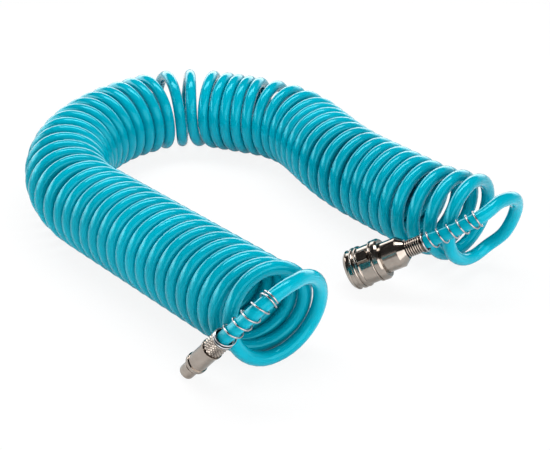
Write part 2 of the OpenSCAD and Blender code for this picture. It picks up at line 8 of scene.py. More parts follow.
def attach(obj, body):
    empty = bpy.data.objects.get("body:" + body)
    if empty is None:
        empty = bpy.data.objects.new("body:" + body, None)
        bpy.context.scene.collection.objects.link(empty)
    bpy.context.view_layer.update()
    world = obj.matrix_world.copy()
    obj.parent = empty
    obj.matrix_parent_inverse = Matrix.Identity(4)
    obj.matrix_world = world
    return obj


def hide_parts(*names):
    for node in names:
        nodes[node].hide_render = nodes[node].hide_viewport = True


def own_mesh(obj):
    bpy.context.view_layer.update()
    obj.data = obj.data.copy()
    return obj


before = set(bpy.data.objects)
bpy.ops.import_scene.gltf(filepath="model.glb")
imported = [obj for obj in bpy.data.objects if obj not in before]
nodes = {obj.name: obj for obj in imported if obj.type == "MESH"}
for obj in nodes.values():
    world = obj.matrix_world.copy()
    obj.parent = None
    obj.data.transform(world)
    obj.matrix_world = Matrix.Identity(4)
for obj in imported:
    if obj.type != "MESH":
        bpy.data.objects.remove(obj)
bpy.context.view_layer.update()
mm = 0.001
print("frame loaded:", len(nodes), "nodes")


def linear(hexColour):
    # sRGB hex to the linear values that shaders want
    parts = [int(hexColour[i:i + 2], 16) / 255 for i in (1, 3, 5)]
    return [c / 12.92 if c <= 0.04045 else ((c + 0.055) / 1.055) ** 2.4 for c in parts] + [1.0]


def addNode(tree, kind, inputs=None, **settings):
    # one node with its settings; an input that is given a socket is linked, and one given a value is set
    node = tree.nodes.new(kind)
    for key, value in settings.items():
        setattr(node, key, value)
    for key, value in (inputs or {}).items():
        if isinstance(value, bpy.types.NodeSocket):
            tree.links.new(value, node.inputs[key])
        else:
            node.inputs[key].default_value = value
    return node


def pointing(heading, rise):
    # unit vector along a heading on the floor and a rise above it, in degrees
    h, r = math.radians(heading), math.radians(rise)
    return Vector((math.cos(h) * math.cos(r), math.sin(h) * math.cos(r), math.sin(r)))


def level(heading):
    return pointing(heading, 0)


# the hose is measured in a frame of its own, in millimetres, whose origin lies at -middle in the part's frame
middle = Vector((-10, -11, 0))
camera = {"rise": 30.57, "distance": 675, "lens": 67.24, "sensor": 36, "seesTo": 20000}


def makeCamera():
    # looks at the measuring frame's origin from the front
    rise = math.radians(camera["rise"])
    data = bpy.data.cameras.new("camera")
    data.lens = camera["lens"]
    data.sensor_width = camera["sensor"]
    data.clip_end = camera["seesTo"] * mm
    place = camera["distance"] * Vector((0, -math.cos(rise), math.sin(rise)))
    eye = bpy.data.objects.new("camera", data)
    eye.location = (place - middle) * mm
    eye.rotation_euler = (math.pi / 2 - rise, 0, 0)
    bpy.context.scene.collection.objects.link(eye)
    bpy.context.scene.camera = eye


makeCamera()

# the hose's coil, in millimetres and degrees
hose = {
    "diameter": 8, "bore": 5, "coilDiameter": 57, "turnGap": 0.5,
    "start": (9.6, -152.8), "heading": 134.1,  # the first ring's foot, and where the coil heads from there
    "firstFlare": 2, "flareTurns": 2,  # the first turns are wider
    "lastLift": 5.5, "liftTurns": 3,  # the last turns rise off the floor
    "pointsPerTurn": 38, "sides": 20,
}
hoseRadius = hose["diameter"] / 2
coilRadius = (hose["coilDiameter"] - hose["diameter"]) / 2
closePitch = hose["diameter"] + hose["turnGap"]

# each run of the coil: turns, pitch on the inner side of the bend, bend to the left, and the lean of the
# rings at its start and at its end
coilRuns = [
    (0.5, 26, 0, 0, 0),
    (0.5, 14.4, 0, 0, -16),
    (17.25, closePitch + 0.1, 0, -16, -16),
    (6.75, closePitch, -49.5, -16, -8),
    (6.75, closePitch, -47.6, -8, 0),
    (1, closePitch, 0, 0, 0),
    (3.5, closePitch, -57.8, 0, 0),
    (3.75, closePitch, 0, 0, 0),
    (4.25, closePitch, -43.5, 0, 0),
    (3.25, closePitch, 0, 0, 0),
    (4.5, closePitch, 15, 0, 0),
    (4.75, closePitch, 0, 0, 0),
    (2.75, 11.4, 4, 0, 0),
    (1, 12.3, 1.6, 0, 0),
]
coilTurns = sum(run[0] for run in coilRuns)


def runWay(run):
    # length of a run's middle line: longer by what the turning of its rings adds to the inner side
    turns, pitch, bend, leanStart, leanEnd = run
    turning = abs(bend + leanEnd - leanStart) if bend else 0
    steepest = math.radians(max(abs(leanStart), abs(leanEnd)))
    return (turns * pitch + math.radians(turning) * coilRadius) / math.cos(steepest)


def locate(turn):
    # point, heading and lean of the coil's middle line, seen from above
    x, y = hose["start"]
    heading = math.radians(hose["heading"])
    for number, run in enumerate(coilRuns):
        turns, _, bend, leanStart, leanEnd = run
        here = turn <= turns or number == len(coilRuns) - 1
        share = turn / turns if here else 1
        way = runWay(run)
        if bend:
            radius = way / math.radians(bend)
            after = heading + share * math.radians(bend)
            x += radius * (math.sin(after) - math.sin(heading))
            y -= radius * (math.cos(after) - math.cos(heading))
            heading = after
        else:
            x += share * way * math.cos(heading)
            y += share * way * math.sin(heading)
        if here:
            return x, y, math.degrees(heading), leanStart + (leanEnd - leanStart) * share
        turn -= turns


def coilPoint(turn):
    # a point of the hose's middle line, which starts at the top of the first ring
    x, y, heading, lean = locate(turn)
    radius = coilRadius + hose["firstFlare"] * max(0, 1 - turn / hose["flareTurns"])
    lift = hose["lastLift"] * max(0, 1 - (coilTurns - turn) / hose["liftTurns"])
    angle = math.radians(360 * turn + 90)
    out = math.cos(angle) * level(heading + lean + 90) + Vector((0, 0, math.sin(angle)))
    return Vector((x, y, radius + hoseRadius + lift)) + radius * out


def beside(turn, ahead, left, up):
    # a point given along the coil, to its left and up, from the foot of the ring at a turn
    x, y, heading, _ = locate(turn)
    return Vector((x, y, up)) + ahead * level(heading) + left * level(heading + 90)


# where the two fittings lie: their front beside the coil, and heading and rise of the axis towards the hose;
# "lowest" is the radius of the edge that rests on the floor, and its place along the axis
plug = {
    "turn": 0, "ahead": 36.8, "left": coilRadius + hose["firstFlare"] + 15.9,
    "heading": -28, "rise": 52, "lowest": (3.8, 0),
}
coupler = {
    "turn": coilTurns, "ahead": -42.7, "left": -coilRadius - 39.7,
    "heading": -9, "rise": 30, "lowest": (12.2, 1.7),
}
floorGap = 0.1


def frontOf(fitting):
    # the front's middle, as high as lets the lowest edge lie just over the floor
    radius, place = fitting["lowest"]
    rise = math.radians(fitting["rise"])
    height = radius * math.cos(rise) - place * math.sin(rise) + floorGap
    return beside(fitting["turn"], fitting["ahead"], fitting["left"], height)


plugTip, couplerFront = frontOf(plug), frontOf(coupler)
plugAxis = pointing(plug["heading"], plug["rise"])
couplerAxis = pointing(coupler["heading"], coupler["rise"])


def onPlug(z):
    return plugTip + z * plugAxis


def onCoupler(z):
    return couplerFront + z * couplerAxis


def axisFrame(foot, fitting):
    # takes a piece from its own z axis to where the fitting lies, in metres
    return (Matrix.Translation((foot - middle) * mm)
            @ Matrix.Rotation(math.radians(fitting["heading"]), 4, "Z")
            @ Matrix.Rotation(math.radians(90 - fitting["rise"]), 4, "Y")
            @ Matrix.Scale(mm, 4))


plugFrame = axisFrame(plugTip, plug)
couplerFrame = axisFrame(couplerFront, coupler)

# the two tails, from the neck of a fitting to the coil
plugNeck = 27.15  # front of the threaded neck along the fitting's axis
couplerNeck = 36.8
hoseEnd = 5.0  # how far behind that front the hose begins
tail = {
    "firstStep": 4, "straight": 10,  # counted from the hose's end, along the fitting's axis
    "couplerStraight": 8.2,  # the coupler's tail runs on straight for this
    "startGuide": 2 / 3, "endGuide": 1 / 12,  # guides of the curve's ends: share of the straight, and turns
    "steps": 6,  # from one point of the curve to the next
}
# free points along the coil, to its left and up, in radii of the coil
plugFree = [(0.281, 1.211, 1.755), (0.055, 0.919, 2.102), (-0.025, 0.485, 2.306)]
couplerFree = [
    (0.3, -1.164, 1.857), (0.639, -0.869, 2.163), (0.696, -0.278, 2.306), (0.75, 0.226, 2.224),
    (0.686, 0.559, 1.898), (0.573, 0.677, 1.429), (0.399, 0.623, 0.939), (0.092, 0.472, 0.531),
]


def between(a, b, c, d, u):
    # the point at a share u of the stretch from b to c, on the smooth curve through all four
    return (2 * b + (c - a) * u + (2 * a - 5 * b + 4 * c - d) * u ** 2 + (3 * b - a - 3 * c + d) * u ** 3) / 2


def smooth(points):
    # smooth curve through the points, without the first and the last stretch
    curve = []
    for i in range(1, len(points) - 2):
        curve += [between(*points[i - 1:i + 3], k / tail["steps"]) for k in range(tail["steps"])]
    return curve + [points[-2]]


def tailCurve(onFitting, neckFront, free, turn, guideTurn, straight=()):
    # the curve from the straight end in its fitting to the coil's end
    start = neckFront + hoseEnd
    bent = start + tail["straight"]
    return smooth([
        onFitting(start + tail["straight"] * tail["startGuide"]), onFitting(bent),
        *[onFitting(bent + more) for more in straight],
        *[beside(turn, *(coilRadius * c for c in point)) for point in free],
        coilPoint(turn), coilPoint(guideTurn),
    ])


plugTail = tailCurve(onPlug, plugNeck, plugFree, 0, tail["endGuide"])
couplerTail = tailCurve(onCoupler, couplerNeck, couplerFree, coilTurns, coilTurns - tail["endGuide"],
                        [tail["couplerStraight"]])


def hoseStart(onFitting, neckFront):
    return [onFitting(neckFront + hoseEnd), onFitting(neckFront + hoseEnd + tail["firstStep"])]


perTurn = hose["pointsPerTurn"]
coilLine = [coilPoint(i / perTurn) for i in range(1, round(coilTurns * perTurn))]
plugLine = hoseStart(onPlug, plugNeck) + plugTail
hoseLine = hoseStart(onCoupler, couplerNeck) + couplerTail + coilLine[::-1] + plugLine[::-1]


def inMetres(points):
    return [(p - middle) * mm for p in points]


def wayTable(points):
    # how far along the line each point lies
    ways = [0]
    for a, b in zip(points, points[1:]):
        ways.append(ways[-1] + (b - a).length)
    return ways


print("hose line:", len(hoseLine), "points,", round(wayTable(hoseLine)[-1]), "mm")


def newMaterial(name):
    material = bpy.data.materials.new(name)
    material.use_nodes = True
    tree = material.node_tree
    return material, tree, tree.nodes["Principled BSDF"]


def patternPlace(tree, sizes, fitting=None, foot=None):
    # Object coordinates, one unit for each size in millimetres, turned to a fitting's axis where one is given
    place = addNode(tree, "ShaderNodeTexCoord").outputs["Object"]
    if fitting:
        turned = (0, math.radians(90 - fitting["rise"]), math.radians(fitting["heading"]))
        place = addNode(tree, "ShaderNodeMapping", {
            "Vector": place, "Location": (foot - middle) * mm, "Rotation": turned,
        }, vector_type="TEXTURE").outputs["Vector"]
    scale = [1 / (size * mm) for size in sizes]
    return addNode(tree, "ShaderNodeMapping", {"Vector": place, "Scale": scale}).outputs["Vector"]


def mottle(tree, finish):
    # noise of the finish's grain, as a run between its two colours and as a plain value
    noise = addNode(tree, "ShaderNodeTexNoise", {
        "Vector": patternPlace(tree, [finish["grain"]] * 3), "Scale": 1, "Detail": finish["detail"]})
    ramp = addNode(tree, "ShaderNodeValToRGB", {"Fac": noise.outputs["Fac"]})
    for stop, place, colour in zip(ramp.color_ramp.elements, finish["stops"], finish["colours"]):
        stop.position = place
        stop.color = linear(colour)
    return ramp.outputs["Color"], noise.outputs["Fac"]


def dress(tree, shader, finish, colour, height):
    # the colour, the relief and the finish's plain values go to the shader
    bump = addNode(tree, "ShaderNodeBump", {
        "Height": height, "Strength": finish["bump"], "Distance": finish["relief"] * mm})
    tree.links.new(colour, shader.inputs["Base Color"])
    tree.links.new(bump.outputs["Normal"], shader.inputs["Normal"])
    for key, value in finish["plain"].items():
        shader.inputs[key].default_value = value


tubeSkin = {
    "colours": ("#0094a9", "#00a3b9"), "stops": (0.35, 0.65), "grain": 50, "detail": 3,
    "wave": 50 / 3, "waveDetail": 1, "bump": 0.04, "relief": 1,
    "plain": {"Roughness": 0.1, "IOR": 1.5, "Specular Tint": linear("#70f4ff")},
}


def polyurethane():
    # Polyurethane tube, extruded: a glossy skin, faintly wavy, with dye that runs a little uneven
    material, tree, shader = newMaterial("polyurethane tube")
    colour, _ = mottle(tree, tubeSkin)
    wave = addNode(tree, "ShaderNodeTexNoise", {
        "Vector": patternPlace(tree, [tubeSkin["wave"]] * 3), "Scale": 1, "Detail": tubeSkin["waveDetail"]})
    dress(tree, shader, tubeSkin, colour, wave.outputs["Fac"])
    return material


nickelSkin = {
    "colours": ("#92887f", "#aca299"), "stops": (0, 1), "grain": 10 / 3, "detail": 4,
    "rings": (20, 20, 0.25), "ringDetail": 2, "bump": 0.15, "relief": 0.1,
    "roughness": (0.1, 0.2), "plain": {"Metallic": 1},
    "paintedShade": "#26221f", "knurlPaintedShade": (5.15, 5.4), "ribPaintedShade": (4.8, 5.15),  # painted shade in the grips' grooves: its colour, and the radii where it is full and gone
}


def nickelPlate(name, fitting, foot, paintedShade=None):
    # Nickel on turned brass: bright, slightly warm, with the lathe's fine rings left under the plating
    material, tree, shader = newMaterial(name)
    colour, cloud = mottle(tree, nickelSkin)
    rings = addNode(tree, "ShaderNodeTexNoise", {
        "Vector": patternPlace(tree, nickelSkin["rings"], fitting, foot), "Scale": 1,
        "Detail": nickelSkin["ringDetail"]})
    smoothest, roughest = nickelSkin["roughness"]
    rough = addNode(tree, "ShaderNodeMapRange", {"Value": cloud, "To Min": smoothest, "To Max": roughest})
    tree.links.new(rough.outputs["Result"], shader.inputs["Roughness"])
    if paintedShade:
        # painted shade: the grip's grooves are painted dark and its crests keep the plain colour; an endless
        # size leaves the axis itself out
        radius = addNode(tree, "ShaderNodeVectorMath", {
            0: patternPlace(tree, (1, 1, math.inf), fitting, foot)}, operation="LENGTH")
        crest = addNode(tree, "ShaderNodeMapRange", {
            "Value": radius.outputs["Value"], "From Min": paintedShade[0], "From Max": paintedShade[1]})
        shadedGrooves = addNode(tree, "ShaderNodeMix", {
            0: crest.outputs["Result"], 6: linear(nickelSkin["paintedShade"]), 7: colour}, data_type="RGBA")
        colour = shadedGrooves.outputs[2]  # the mix node has its colours at inputs 6 and 7 and at output 2
    dress(tree, shader, nickelSkin, colour, rings.outputs["Fac"])
    return material


wireSkin = {
    "colours": ("#8f9193", "#b8babc"), "stops": (0, 1), "grain": 1 / 3, "detail": 3,
    "bump": 0.1, "relief": 0.05, "plain": {"Metallic": 1, "Roughness": 0.2},
}


def drawnWire():
    # Spring steel, cold drawn and zinc plated: bright, with a fine uneven grain
    material, tree, shader = newMaterial("drawn wire")
    dress(tree, shader, wireSkin, *mottle(tree, wireSkin))
    return material


rubberSkin = {
    "colours": ("#161617", "#252526"), "stops": (0, 1), "grain": 0.5, "detail": 4,
    "bump": 0.2, "relief": 0.1, "plain": {"Roughness": 0.55},
}


def nitrileRubber():
    # Nitrile rubber, moulded: black with a soft matt skin
    material, tree, shader = newMaterial("nitrile rubber")
    dress(tree, shader, rubberSkin, *mottle(tree, rubberSkin))
    return material


tealTube = polyurethane()
plugNickel = nickelPlate("nickel plate, plug", plug, plugTip)
couplerNickel = nickelPlate("nickel plate, coupler", coupler, couplerFront)
# the knurled and ribbed nuts get painted shade in their grooves
knurledNickel = nickelPlate("nickel plate, knurled", plug, plugTip, nickelSkin["knurlPaintedShade"])
ribbedNickel = nickelPlate("nickel plate, ribbed", coupler, couplerFront, nickelSkin["ribPaintedShade"])
brightWire = drawnWire()
blackRubber = nitrileRubber()
print("materials made")


def startTree(name, inputs, output):
    # a geometry nodes tree with its named inputs, and their sockets
    tree = bpy.data.node_groups.new(name, "GeometryNodeTree")
    for socket, kind in inputs.items():
        tree.interface.new_socket(name=socket, in_out="INPUT", socket_type="NodeSocket" + kind)
    tree.interface.new_socket(name=output, in_out="OUTPUT", socket_type="NodeSocketGeometry")
    return tree, addNode(tree, "NodeGroupInput").outputs


def endTree(tree, geometry, material):
    # instances are made real and painted before the tree hands them out
    real = addNode(tree, "GeometryNodeRealizeInstances", {"Geometry": geometry})
    painted = addNode(tree, "GeometryNodeSetMaterial", {
        "Geometry": real.outputs["Geometry"], "Material": material})
    addNode(tree, "NodeGroupOutput", {0: painted.outputs["Geometry"]})
    return tree


def keptMesh(piece):
    # the piece as its modifiers leave it, as a plain mesh
    bpy.context.view_layer.update()
    return bpy.data.meshes.new_from_object(piece.evaluated_get(bpy.context.evaluated_depsgraph_get()))


def addPiece(name, data):
    piece = bpy.data.objects.new(name, data)
    bpy.context.scene.collection.objects.link(piece)
    return piece


def applyTree(piece, tree, values):
    # runs a tree on an object and puts the result in its place
    modifier = piece.modifiers.new("nodes", "NODES")
    modifier.node_group = tree
    for socket in tree.interface.items_tree:
        if socket.in_out == "INPUT" and socket.name in values:
            modifier[socket.identifier] = values[socket.name]
    mesh = keptMesh(piece)
    name = piece.name
    bpy.data.objects.remove(piece)
    return addPiece(name, mesh)


def withModifier(piece, kind, **settings):
    modifier = piece.modifiers.new(kind, kind)
    for key, value in settings.items():
        setattr(modifier, key, value)
    mesh = keptMesh(piece)
    piece.modifiers.clear()
    piece.data = mesh


def tubeTree():
    tree, given = startTree("tube along a line", {
        "Line": "Geometry", "Radius": "Float", "Sides": "Int", "Closed ends": "Bool", "Material": "Material",
    }, "Tube")
    circle = addNode(tree, "GeometryNodeCurvePrimitiveCircle", {
        "Resolution": given["Sides"], "Radius": given["Radius"]})
    tube = addNode(tree, "GeometryNodeCurveToMesh", {
        "Curve": given["Line"], "Profile Curve": circle.outputs["Curve"], "Fill Caps": given["Closed ends"]})
    return endTree(tree, tube.outputs["Mesh"], given["Material"])


tubeAlongLine = tubeTree()


def tubePiece(name, points, radius, sides, material, closedEnds=True):
    # points in metres, radius in millimetres
    curve = bpy.data.curves.new(name, "CURVE")
    curve.dimensions = "3D"
    spline = curve.splines.new("POLY")
    spline.points.add(len(points) - 1)
    spline.points.foreach_set("co", [c for p in points for c in (*p, 1)])
    piece = applyTree(addPiece(name, curve), tubeAlongLine, {
        "Radius": radius * mm, "Sides": sides, "Closed ends": closedEnds, "Material": material})
    piece.data.shade_smooth()
    return piece


def makeHose():
    points = inMetres(hoseLine)
    piece = tubePiece("air_hose", points, hoseRadius, hose["sides"], tealTube, False)
    wall = (hose["diameter"] - hose["bore"]) / 2 * mm
    withModifier(piece, "SOLIDIFY", thickness=wall, offset=-1, use_rim=True)
    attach(piece, "root")
    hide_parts("hose")
    return piece, points


airHose, hosePoints = makeHose()
print("hose made:", len(airHose.data.polygons), "faces")

# what both nuts share, along the axis from the neck's front
nut = {
    "front": 0.1, "length": 9.5, "end": 11.7, "neckRadius": 4.9,
    "bore": 4.35, "hoseBore": 4.1, "hoseBoreFrom": 4.8,
}
strainSpring = {
    "wire": 1, "openTurns": 5, "pitch": 6.3, "closeTurns": 1.25, "closeGap": 0.5, "gap": 0.1,
    "tighter": 0.5,  # how much closer to the hose the open turns lie
    "pointsPerTurn": 32, "sides": 12,
}


def along(points, ways, way):
    # the point at a way along the line
    for i in range(1, len(points)):
        if ways[i] >= way or i == len(points) - 1:
            return points[i - 1].lerp(points[i], (way - ways[i - 1]) / (ways[i] - ways[i - 1]))


def springLine(points, axis):
    # the wire's middle line round a tail: close turns on the nut's neck and at the end, open ones between
    spec = strainSpring
    ways = wayTable(points)
    radius = nut["neckRadius"] + spec["gap"] + spec["wire"] / 2
    start = nut["length"] + spec["wire"] / 2 + spec["gap"]
    total = spec["openTurns"] + 2 * spec["closeTurns"]
    line = []
    for i in range(round(total * spec["pointsPerTurn"]) + 1):
        turn = i / spec["pointsPerTurn"]
        opened = max(0, min(turn - spec["closeTurns"], spec["openTurns"]))
        way = start + (turn - opened) * (spec["wire"] + spec["closeGap"]) + opened * spec["pitch"]
        here = along(points, ways, way)
        ahead = (along(points, ways, way + 1) - along(points, ways, way - 1)).normalized()
        across = (axis - axis.dot(ahead) * ahead).normalized()
        angle = 2 * math.pi * turn
        around = radius - spec["tighter"] * min(1, opened)
        line.append(here + around * (math.cos(angle) * across + math.sin(angle) * ahead.cross(across)))
    return line


def coilAxisAt(turn):
    _, _, heading, lean = locate(turn)
    return level(heading + lean)


def makeStrainSpring(name, node, onFitting, neckFront, curve, turn):
    points = [onFitting(neckFront), onFitting(neckFront + hoseEnd)] + curve
    wire = inMetres(springLine(points, coilAxisAt(turn)))
    piece = tubePiece(name, wire, strainSpring["wire"] / 2, strainSpring["sides"], brightWire)
    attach(piece, "root")
    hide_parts(node)
    return piece


plugStrain = makeStrainSpring("plug_strain_spring", "plug_spring", onPlug, plugNeck, plugTail, 0)
makeStrainSpring("coupler_strain_spring", "coupler_spring", onCoupler, couplerNeck, couplerTail, coilTurns)
print("strain springs made")

# turned pieces are outlines of radius and place along the fitting's axis, in millimetres; edges sharper than
# sharpFrom are broken, and facets steeper than facetFrom stay flat, both in degrees
turning = {"edge": 0.12, "steps": 96, "blockEdge": 0.3, "sharpFrom": 25, "facetFrom": 20}


def turnedPiece(name, outline, material, edge=turning["edge"], steps=turning["steps"], raised=None):
    # spins a closed outline, breaks its edges and adds a block where one is given
    body = bmesh.new()
    angles = [2 * math.pi * k / steps for k in range(steps)]
    rings = [[body.verts.new((r * math.cos(a), r * math.sin(a), z)) for a in angles] for r, z in outline]
    for here, after in zip(rings, rings[1:] + rings[:1]):
        for k in range(steps):
            body.faces.new((here[k], here[k - 1], after[k - 1], after[k]))
    bmesh.ops.recalc_face_normals(body, faces=body.faces)
    rounding = {"profile": 0.5, "affect": "EDGES", "clamp_overlap": True}
    if edge:
        sharp = [e for e in body.edges if e.calc_face_angle() > math.radians(turning["sharpFrom"])]
        bmesh.ops.bevel(body, geom=sharp, offset=edge, segments=2, **rounding)
    if raised:
        made = bmesh.ops.create_cube(body, size=1, matrix=raised)
        edges = list(dict.fromkeys(e for v in made["verts"] for e in v.link_edges))
        bmesh.ops.bevel(body, geom=edges, offset=turning["blockEdge"], segments=3, **rounding)
    mesh = bpy.data.meshes.new(name)
    body.to_mesh(mesh)
    body.free()
    mesh.materials.append(material)
    mesh.shade_smooth()
    return addPiece(name, mesh)


def settle(piece, place, node, body="root", facets=False):
    # even normals on the flats, or facets where wanted, then the piece goes to its place on the fitting
    if facets:
        piece.data.set_sharp_from_angle(angle=math.radians(turning["facetFrom"]))
    else:
        withModifier(piece, "WEIGHTED_NORMAL", keep_sharp=True)
    piece.data.transform(place)
    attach(piece, body)
    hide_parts(node)


# radii and lengths of the threaded necks with their barbed stems
neck = {
    "radius": 4.3, "length": 4.7, "stemRadius": 2.5, "stemLength": 4.6, "bore": 1.6,
    "barbs": 3, "barb": 0.2, "barbLength": 1.4,
}


def neckOutline(z):
    # threaded neck and barbed stem, from the neck's front to the stem's end and its bore
    foot = z + neck["length"]
    end = foot + neck["stemLength"]
    stem = neck["stemRadius"]
    outline = [(neck["radius"], z), (neck["radius"], foot), (stem, foot)]
    for k in range(neck["barbs"], 0, -1):
        barb = end - k * neck["barbLength"]
        outline += [(stem + neck["barb"], barb), (stem, barb + neck["barbLength"])]
    return outline + [(neck["bore"], end)]


# radii, and places counted from the tip
plugShape = {
    "nose": 4.3, "noseEnd": 7.1, "chamfer": 0.5, "groove": 3.9, "grooveEnd": 8.35, "collarFoot": 4.4,
    "collar": 6.1, "collarFrom": 9.85, "collarEnd": 11.85, "barrel": 5.5, "barrelEnd": 25.85, "flange": 6.05,
    "edge": 0.15,
}


def plugOutline():
    p = plugShape
    return [
        (neck["bore"], 0), (p["nose"] - p["chamfer"], 0), (p["nose"], p["chamfer"]),
        (p["nose"], p["noseEnd"]), (p["groove"], p["noseEnd"]),
        (p["groove"], p["grooveEnd"]), (p["collarFoot"], p["grooveEnd"]),
        (p["collar"], p["collarFrom"]), (p["collar"], p["collarEnd"]), (p["barrel"], p["collarEnd"]),
        (p["barrel"], p["barrelEnd"]), (p["flange"], p["barrelEnd"]), (p["flange"], plugNeck),
    ] + neckOutline(plugNeck)


plugBody = turnedPiece("plug_fitting", plugOutline(), plugNickel, plugShape["edge"])
settle(plugBody, plugFrame, "plug_body")

# radii, and places counted from the coupler's mouth
adapterShape = {
    "seat": 27, "spigot": 8.05, "flange": 10.1, "flangeFrom": 19.3, "flangeEnd": 20.3,
    "barrel": 9.25, "chamfer": 0.5, "coneFrom": 33.2, "coneEnd": 5.9, "chamber": 3,
}


def adapterOutline():
    a = adapterShape
    return [
        (a["spigot"], a["seat"]), (a["spigot"], a["flangeFrom"]),
        (a["flange"], a["flangeFrom"]), (a["flange"], a["flangeEnd"]),
        (a["barrel"], a["flangeEnd"]), (a["barrel"], a["coneFrom"] - a["chamfer"]),
        (a["barrel"] - a["chamfer"], a["coneFrom"]), (a["coneEnd"], couplerNeck),
    ] + neckOutline(couplerNeck) + [
        (neck["bore"], a["coneFrom"]), (a["chamber"], a["coneFrom"]), (a["chamber"], a["seat"]),
    ]


settle(turnedPiece("rear_adapter", adapterOutline(), couplerNickel), couplerFrame, "adapter")

# radii, and places counted from the mouth; each ring has its place and its width
sleeveShape = {
    "length": 22.5, "radius": 11.6, "mouth": 10.26, "lip": 10.75, "lipChamfer": 0.15,
    "disc": 12.2, "discFrom": 1.7, "discEnd": 2.15,
    "ring": 12.5, "ringPoints": 12, "crown": 2.5, "rings": [(4.4, 2.4), (7.2, 2.4), (16.5, 1.5)],
    "rearRingFrom": 18.8, "rearRingEnd": 21.3, "rearBore": 9.35, "rearBoreFrom": 20.4,
    "springBore": 10.2, "land": 9.2, "landFrom": 6.5, "landEnd": 9,
    "steps": 128,
}
# the raised block on the sleeve: its turn round the axis, its radii, its width, and its place along the axis
block = {"turned": 217, "from": 10.9, "to": 14.2, "width": 6, "z": 9.6, "length": 6.6}


def crownedRing(z, width):
    # a raised ring with a full round back
    s = sleeveShape
    count, rise = s["ringPoints"], s["ring"] - s["radius"]
    crest = [math.sqrt(1 - abs(2 * k / count - 1) ** s["crown"]) for k in range(count + 1)]
    return [(s["radius"] + rise * height, z + width * k / count) for k, height in enumerate(crest)]


def sleeveOutline():
    s = sleeveShape
    rings = [point for z, width in s["rings"] for point in crownedRing(z, width)]
    return [
        (s["mouth"], 0), (s["lip"], 0), (s["lip"] + s["lipChamfer"], s["lipChamfer"]),
        (s["disc"], s["discFrom"]), (s["disc"], s["discEnd"]), (s["radius"], s["discEnd"]),
    ] + rings + [
        (s["radius"], s["rearRingFrom"]), (s["ring"], s["rearRingFrom"]), (s["ring"], s["rearRingEnd"]),
        (s["radius"], s["length"]), (s["rearBore"], s["length"]), (s["rearBore"], s["rearBoreFrom"]),
        (s["springBore"], s["rearBoreFrom"]), (s["springBore"], s["landEnd"]), (s["land"], s["landEnd"]),
        (s["land"], s["landFrom"]),
    ]


def blockPlace():
    centre = ((block["from"] + block["to"]) / 2, 0, block["z"] + block["length"] / 2)
    return (Matrix.Rotation(math.radians(block["turned"]), 4, "Z") @ Matrix.Translation(centre)
            @ Matrix.Diagonal((block["to"] - block["from"], block["width"], block["length"], 1)))


couplerSleeve = turnedPiece("coupler_sleeve", sleeveOutline(), couplerNickel, steps=sleeveShape["steps"],
                            raised=blockPlace())
settle(couplerSleeve, couplerFrame, "sleeve", "sleeve")


def nutOutline(grip):
    # the grip's own outline, then the rear neck and the bore
    return [(nut["bore"], nut["front"])] + grip + [
        (nut["neckRadius"], nut["length"]), (nut["neckRadius"], nut["end"]), (nut["hoseBore"], nut["end"]),
        (nut["hoseBore"], nut["hoseBoreFrom"]), (nut["bore"], nut["hoseBoreFrom"]),
    ]


# rounded ribs round the coupler's nut, fewer and coarser than real ones so that they show
ribs = {"count": 7, "foot": 4.6, "height": 0.7, "points": 8}


def ribbedGrip():
    number = ribs["count"] * ribs["points"]
    rise = nut["length"] - nut["front"]
    return [(ribs["foot"] + ribs["height"] * abs(math.sin(math.pi * i / ribs["points"])),
             nut["front"] + rise * i / number) for i in range(number)]


couplerNut = turnedPiece("ribbed_nut", nutOutline(ribbedGrip()), ribbedNickel, 0)
settle(couplerNut, couplerFrame @ Matrix.Translation((0, 0, couplerNeck)), "coupler_nut")

# a diamond knurl round the plug's nut, coarser than a real one so that it shows
plugNutShape = {"core": 5.2, "coreEnd": 8.8, "rim": 5.6, "chamfer": 0.1, "edge": 0.05}
knurl = {
    "Around": 18, "Rows": 8, "Radius": 5.1, "First row": 1.1, "Row step": 1.0,
    "Point size": 0.95, "Point height": 0.65, "Stretch": 1.4,
}


